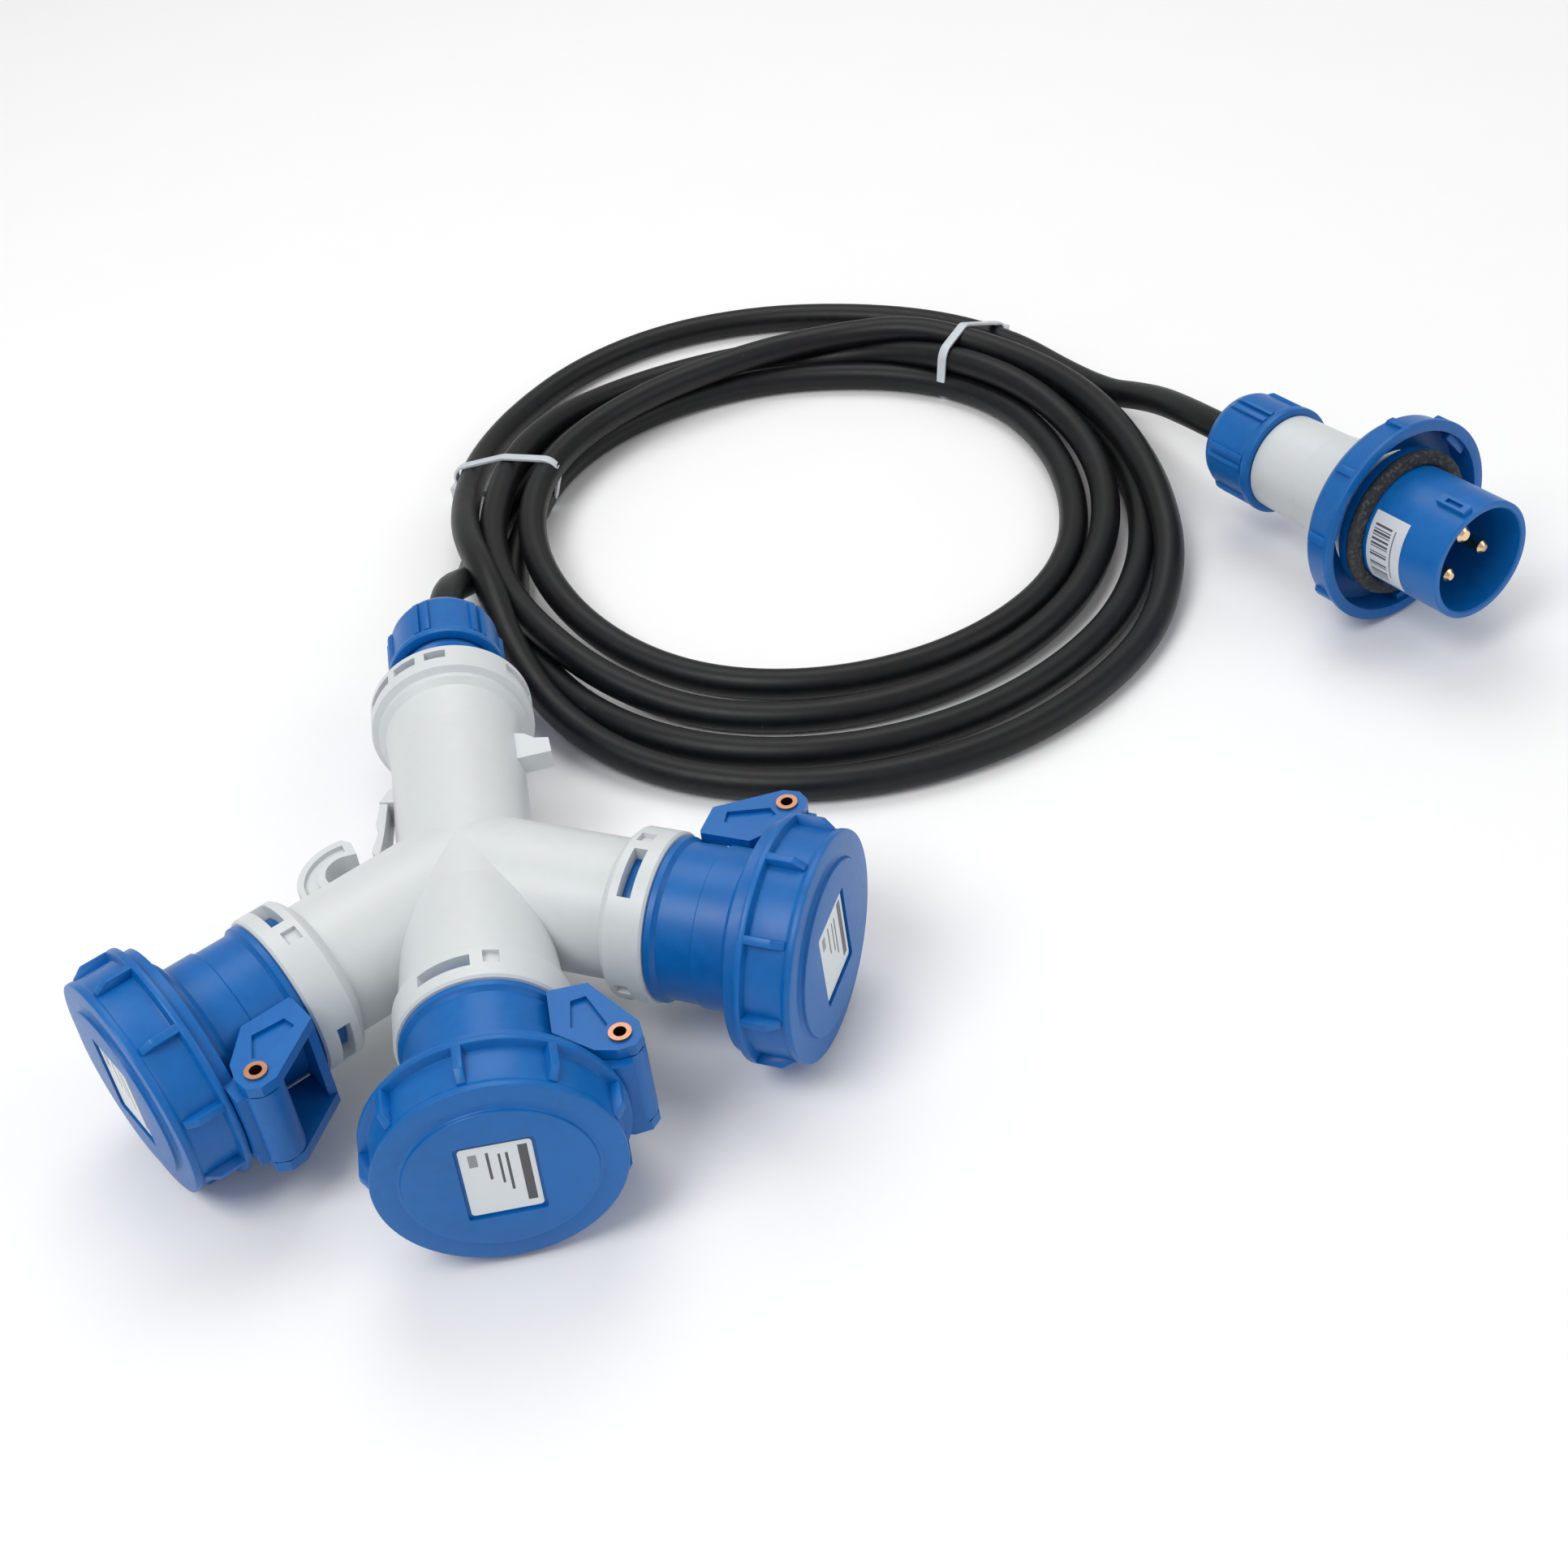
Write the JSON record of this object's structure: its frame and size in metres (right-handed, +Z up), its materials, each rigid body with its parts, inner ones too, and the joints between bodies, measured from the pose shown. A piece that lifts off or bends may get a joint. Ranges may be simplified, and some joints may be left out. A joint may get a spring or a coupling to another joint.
{
  "type": "three-way power distribution splitter",
  "caption": "Portable three-way power splitter: grey hub with capped blue sockets, hanging hook, and a coiled rubber lead ending in a pin-and-sleeve plug.",
  "frame": {"origin": "on the floor under the middle of the hub with its sockets and gland nut, the free lead left out", "axes": "+Y towards the lead's gland, the front socket faces -Y, +Z up off the floor"},
  "size_m": [0.503, 0.514, 0.0774],
  "materials": {
    "grey_plastic": "fine satin moulding",
    "blue_plastic": "fine satin moulding",
    "dark_blue_plastic": "satin",
    "black_rubber": "matt",
    "copper": "dull plated rivet",
    "foam_rubber": "open foam",
    "brass": "bright",
    "steel": "bright",
    "white_film": "printed film, left blank",
    "brown_pvc": "smooth",
    "blue_pvc": "smooth",
    "green_pvc": "green with a yellow stripe",
    "clear_nylon": "milky",
    "cable_rubber": "satin"
  },
  "bodies": {
    "splitter": {"cable_tie_left": "clear_nylon", "cable_tie_right": "clear_nylon", "earth_wires": "green_pvc", "front_contact_carrier": "dark_blue_plastic", "front_contacts": "brass", "front_hinge_pin": "copper", "front_hinge_spring": "steel", "front_socket_body": "blue_plastic", "front_terminal_screws": "steel", "hub_body": "grey_plastic", "inlet_gland_nut": "blue_plastic", "inlet_gland_seal": "black_rubber", "inlet_neck": "blue_plastic", "lead_coil": "cable_rubber", "lead_inlet_run": "cable_rubber", "lead_plug_run": "cable_rubber", "left_contact_carrier": "dark_blue_plastic", "left_contacts": "brass", "left_hinge_pin": "copper", "left_hinge_spring": "steel", "left_socket_body": "blue_plastic", "left_terminal_screws": "steel", "line_wires": "brown_pvc", "neutral_wires": "blue_pvc", "plug_body": "grey_plastic", "plug_gland_nut": "blue_plastic", "plug_gland_seal": "black_rubber", "plug_label": "white_film", "plug_pins": "brass", "plug_ring_gasket": "foam_rubber", "plug_shroud": "blue_plastic", "plug_wires": "brown_pvc", "right_contact_carrier": "dark_blue_plastic", "right_contacts": "brass", "right_hinge_pin": "copper", "right_hinge_spring": "steel", "right_socket_body": "blue_plastic", "right_terminal_screws": "steel", "splice_blocks": "clear_nylon"},
    "front_lid": {"front_cap_carrier": "blue_plastic"},
    "front_lid_cap": {"front_cap": "blue_plastic", "front_cap_gasket": "foam_rubber", "front_cap_label": "white_film"},
    "right_lid": {"right_cap_carrier": "blue_plastic"},
    "right_lid_cap": {"right_cap": "blue_plastic", "right_cap_gasket": "foam_rubber", "right_cap_label": "white_film"},
    "left_lid": {"left_cap_carrier": "blue_plastic"},
    "left_lid_cap": {"left_cap": "blue_plastic", "left_cap_gasket": "foam_rubber", "left_cap_label": "white_film"},
    "gate": {"hook_gate": "grey_plastic"},
    "ring": {"plug_ring": "blue_plastic"}
  },
  "joints": [
    {"name": "front_lid_hinge", "type": "hinge", "parent": "splitter", "child": "front_lid", "pos_m": [0.039, -0.10085, 0.0381], "axis": [0, 0, 1], "range_deg": [0, 100], "stiffness_Nm_per_rad": 0.04},
    {"name": "front_cap_turn", "type": "hinge", "parent": "front_lid", "child": "front_lid_cap", "pos_m": [0, -0.12425, 0.0381], "axis": [0, -1, 0], "range_deg": [0, 45]},
    {"name": "right_lid_hinge", "type": "hinge", "parent": "splitter", "child": "right_lid", "pos_m": [0.10143, -0.01978, 0.0381], "axis": [0, 0, 1], "range_deg": [0, 100], "stiffness_Nm_per_rad": 0.04},
    {"name": "right_cap_turn", "type": "hinge", "parent": "right_lid", "child": "right_lid_cap", "pos_m": [0.10219, -0.06525, 0.0381], "axis": [0.866, -0.5, 0], "range_deg": [0, 45]},
    {"name": "left_lid_hinge", "type": "hinge", "parent": "splitter", "child": "left_lid", "pos_m": [-0.06243, -0.08732, 0.0381], "axis": [0, 0, 1], "range_deg": [0, 100], "stiffness_Nm_per_rad": 0.04},
    {"name": "left_cap_turn", "type": "hinge", "parent": "left_lid", "child": "left_lid_cap", "pos_m": [-0.10219, -0.06525, 0.0381], "axis": [-0.866, -0.5, 0], "range_deg": [0, 45]},
    {"name": "hook_gate_flex", "type": "hinge", "parent": "splitter", "child": "gate", "pos_m": [-0.0246, 0.03295, 0.0381], "axis": [0, 0, 1], "range_deg": [0, 9], "stiffness_Nm_per_rad": 0.5},
    {"name": "plug_ring_turn", "type": "hinge", "parent": "splitter", "child": "ring", "pos_m": [0.34373, 0.08999, 0.03874], "axis": [0.3755, -0.9248, 0.061], "range_deg": [0, 45]}
  ]
}
